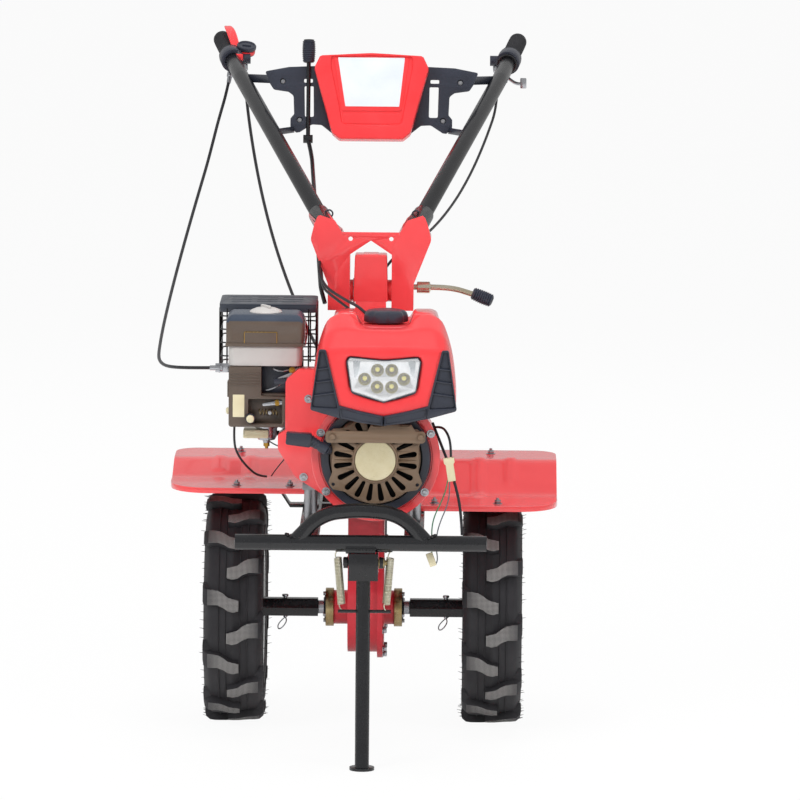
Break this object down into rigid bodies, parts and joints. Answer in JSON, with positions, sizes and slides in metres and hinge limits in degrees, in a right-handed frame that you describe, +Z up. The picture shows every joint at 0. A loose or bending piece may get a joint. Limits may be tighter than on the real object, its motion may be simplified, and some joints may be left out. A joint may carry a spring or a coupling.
{
  "type": "two-wheel power weeder",
  "caption": "Walk-behind power weeder with a petrol engine ahead of a two-wheel gearbox, a folding front stand and a height-adjustable handlebar.",
  "frame": {"origin": "on the floor under the middle of the machine's bounding box", "axes": "+Z up, +Y towards the operator's handlebar (the machine's front is -Y), +X to the operator's left"},
  "size_m": [0.7265, 1.5146, 1.202],
  "materials": {
    "red_paint": "gloss",
    "red_plastic": "gloss",
    "black_paint": "gloss",
    "zinc": "satin",
    "steel": "satin",
    "cast_alloy": "matte",
    "taupe_plastic": "matte",
    "black_plastic": "matte",
    "grey_plastic": "matte",
    "red_lever": "gloss",
    "tyre_rubber": "matte",
    "rim_paint": "satin",
    "grip_rubber": "matte",
    "cable_jacket": "satin"
  },
  "bodies": {
    "chassis": {"gearbox_case": "red_paint", "bearing_caps": "zinc", "clutch_housing": "cast_alloy", "rear_hitch": "black_paint", "engine_block": "cast_alloy", "cylinder": "cast_alloy", "fan_shroud": "red_paint", "recoil_cover": "taupe_plastic", "starter_handle": "black_plastic", "shroud_bracket": "taupe_plastic", "fuel_tank": "red_paint", "fuel_cap": "black_plastic", "front_mask": "red_paint", "mask_grille": "black_plastic", "headlamp": "black_plastic", "air_cleaner_base": "grey_plastic", "air_cleaner_cover": "black_plastic", "control_cover": "taupe_plastic", "carburettor": "cast_alloy", "muffler": "steel", "muffler_guard": "black_paint", "engine_frame": "black_paint", "front_bumper": "black_paint", "stand_bracket": "black_paint", "stand_springs": "zinc", "fender_left": "red_paint", "fender_right": "red_paint", "fender_brackets": "black_paint", "handle_post": "red_paint", "adjust_lever": "zinc", "stop_lead": "cable_jacket"},
    "drive_axle": {"axle_shaft": "steel", "tyre_left": "tyre_rubber", "tyre_right": "tyre_rubber", "rim_left": "rim_paint", "rim_right": "rim_paint", "hub_left": "black_paint", "hub_right": "black_paint"},
    "stand": {"stand_leg": "black_paint"},
    "handlebar": {"handlebar_bracket": "red_paint", "handle_tube_left": "black_paint", "handle_tube_right": "black_paint", "grip_left": "grip_rubber", "grip_right": "grip_rubber", "lever_clamp_left": "steel", "lever_clamp_right": "steel", "hand_lever_left": "steel", "hand_lever_right": "red_lever", "dashboard": "red_plastic", "dash_plates": "black_paint", "gear_lever": "black_paint", "throttle_cable": "cable_jacket", "clutch_cable": "cable_jacket", "lock_cable": "cable_jacket", "lamp_lead": "cable_jacket"}
  },
  "joints": [
    {"name": "axle_spin", "type": "hinge", "parent": "chassis", "child": "drive_axle", "pos_m": [0, -0.2512, 0.21], "axis": [1, 0, 0], "continuous": true},
    {"name": "stand_fold", "type": "hinge", "parent": "chassis", "child": "stand", "pos_m": [0.005, -0.7212, 0.367], "axis": [1, 0, 0], "range_deg": [0, 85], "deforming": ["stand_springs"]},
    {"name": "handlebar_tilt", "type": "hinge", "parent": "chassis", "child": "handlebar", "pos_m": [0.008, -0.2212, 0.79], "axis": [1, 0, 0], "range_deg": [-20, 10], "deforming": ["throttle_cable", "clutch_cable", "lock_cable", "lamp_lead"]}
  ]
}
